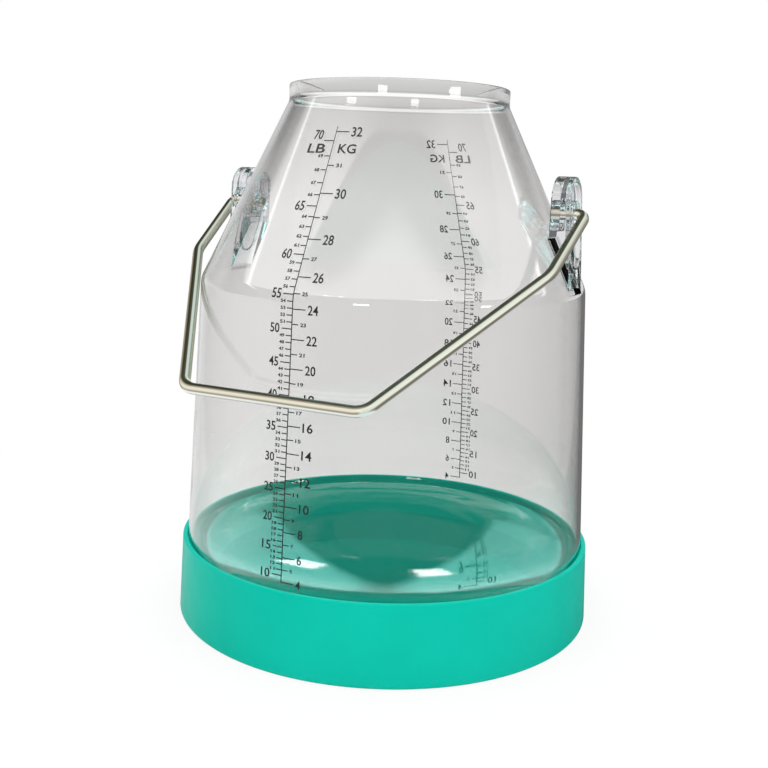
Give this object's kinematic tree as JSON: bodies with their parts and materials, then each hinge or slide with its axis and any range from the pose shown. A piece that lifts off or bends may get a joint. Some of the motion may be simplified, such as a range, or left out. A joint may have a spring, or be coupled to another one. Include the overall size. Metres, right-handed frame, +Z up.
{
  "type": "milking bucket",
  "caption": "Clear plastic milking bucket with conical shoulder, straight mouth band, green foot cup, swinging bent steel handle in two lugs, and printed milk scales front and rear.",
  "frame": {"origin": "centre of the foot plane", "axes": "+Z up along the vessel's axis, X through the two lugs along the handle's pivot axis, -Y towards the front scale, over which the handle hangs at rest"},
  "size_m": [0.3752, 0.3893, 0.4606],
  "materials": {
    "green_cup": "smooth moulded, slight sheen",
    "clear_shell": "clear polycarbonate, polished",
    "clear_lug": "clear polycarbonate, thick",
    "steel_rod": "polished round bar",
    "black_ink": "printed ink"
  },
  "bodies": {
    "bucket": {"base_cup": "green_cup", "lower_shell": "clear_shell", "upper_shell": "clear_shell", "lug_right": "clear_lug", "lug_left": "clear_lug", "scale_front_kg": "black_ink", "scale_front_lb": "black_ink", "scale_rear_kg": "black_ink", "scale_rear_lb": "black_ink"},
    "handle": {"handle": "steel_rod"}
  },
  "joints": [
    {"name": "handle_swing", "type": "hinge", "parent": "bucket", "child": "handle", "pos_m": [0, 0, 0.3624], "axis": [-1, 0, 0], "range_deg": [0, 250]}
  ]
}
